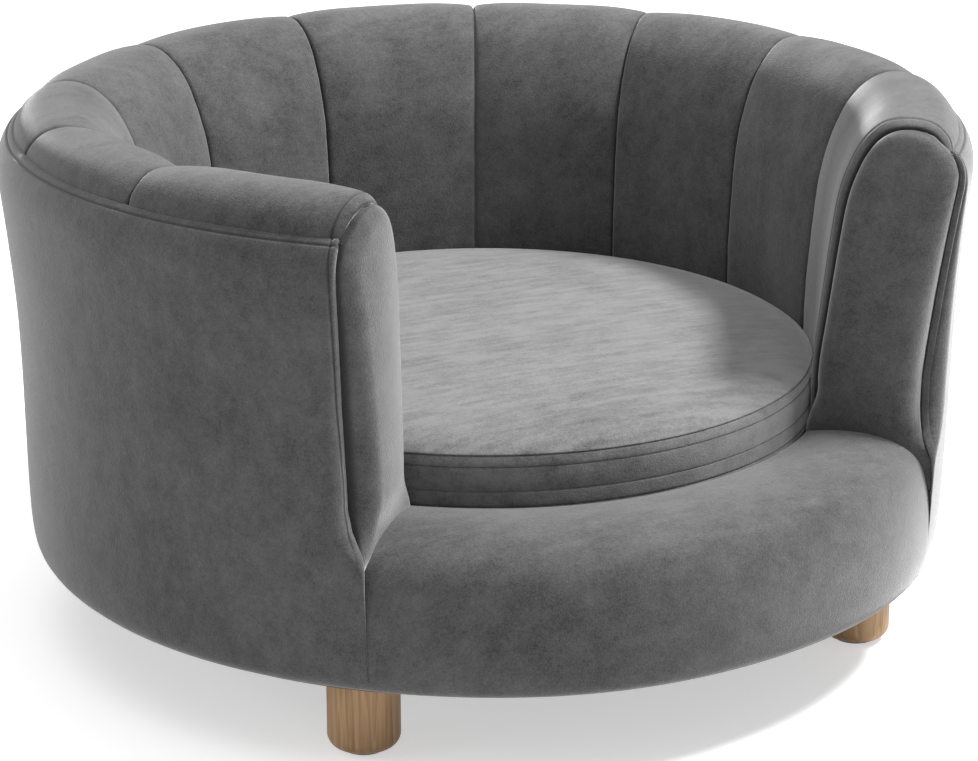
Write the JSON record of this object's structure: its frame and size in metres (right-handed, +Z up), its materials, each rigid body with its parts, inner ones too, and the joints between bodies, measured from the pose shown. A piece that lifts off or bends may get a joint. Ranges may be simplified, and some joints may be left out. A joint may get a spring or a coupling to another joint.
{
  "type": "dog sofa bed",
  "caption": "Round upholstered dog sofa bed: channel-tufted velvet wall open at the front over a low padded rail, loose zipped cushion and short cylindrical wooden legs.",
  "frame": {"origin": "on the floor under the middle of the round tub, which is the axis of the wall and of the cushion", "axes": "+Z is up, -Y points out of the open front over the padded rail, +X is to the right of someone who faces the open front"},
  "size_m": [0.69, 0.6811, 0.3871],
  "materials": {
    "channel_velvet": "soft grey velvet over channel foam",
    "shell_velvet": "soft grey velvet with light wadding",
    "cushion_velvet": "soft grey velvet",
    "foam": "open-cell upholstery foam",
    "leg_wood": "pale oak-like wood, satin lacquer",
    "plywood": "raw plywood",
    "hardboard": "raw hardboard",
    "glide_plastic": "black nylon",
    "fastener_steel": "zinc-plated steel",
    "dust_cloth": "black non-woven cloth",
    "zip_cloth": "woven zip tape",
    "zip_plastic": "nylon zip coil",
    "zip_metal": "grey lacquered zinc"
  },
  "bodies": {
    "sofa": {"arm_board_left": "plywood", "arm_board_right": "plywood", "arm_cap_left": "shell_velvet", "arm_cap_right": "shell_velvet", "base_board": "plywood", "channel_01": "channel_velvet", "channel_02": "channel_velvet", "channel_03": "channel_velvet", "channel_04": "channel_velvet", "channel_05": "channel_velvet", "channel_06": "channel_velvet", "channel_07": "channel_velvet", "channel_08": "channel_velvet", "channel_09": "channel_velvet", "channel_10": "channel_velvet", "deck_rib_across": "plywood", "deck_rib_along": "plywood", "dust_cover": "dust_cloth", "glide_back_left": "glide_plastic", "glide_back_right": "glide_plastic", "glide_front_left": "glide_plastic", "glide_front_right": "glide_plastic", "hanger_bolt_back_left": "fastener_steel", "hanger_bolt_back_right": "fastener_steel", "hanger_bolt_front_left": "fastener_steel", "hanger_bolt_front_right": "fastener_steel", "inner_panel": "hardboard", "leg_back_left": "leg_wood", "leg_back_right": "leg_wood", "leg_front_left": "leg_wood", "leg_front_right": "leg_wood", "outer_cover": "shell_velvet", "outer_panel": "hardboard", "rail_batten": "plywood", "rail_cover": "shell_velvet", "rail_inner_board": "hardboard", "rail_outer_board": "hardboard", "rail_pad": "foam", "rail_stud": "plywood", "seat_deck": "plywood", "t_nut_back_left": "fastener_steel", "t_nut_back_right": "fastener_steel", "t_nut_front_left": "fastener_steel", "t_nut_front_right": "fastener_steel", "top_rail": "plywood", "wall_roll": "foam", "wall_stud_1": "plywood", "wall_stud_2": "plywood", "wall_stud_3": "plywood", "wall_stud_4": "plywood", "wall_stud_5": "plywood"},
    "cushion": {"cushion_core": "foam", "cushion_top": "cushion_velvet", "cushion_boxing": "cushion_velvet", "cushion_bottom": "cushion_velvet", "zip_tape": "zip_cloth", "zip_coil": "zip_plastic"},
    "zip_slider": {"zip_slider": "zip_metal", "zip_pull": "zip_metal"}
  },
  "joints": [
    {"name": "cushion_lift", "type": "slide", "parent": "sofa", "child": "cushion", "axis": [0, 0, 1], "range_m": [0, 0.26]},
    {"name": "zip_run", "type": "hinge", "parent": "cushion", "child": "zip_slider", "pos_m": [0, 0, 0.179], "axis": [0, 0, 1], "range_deg": [0, 118]}
  ]
}
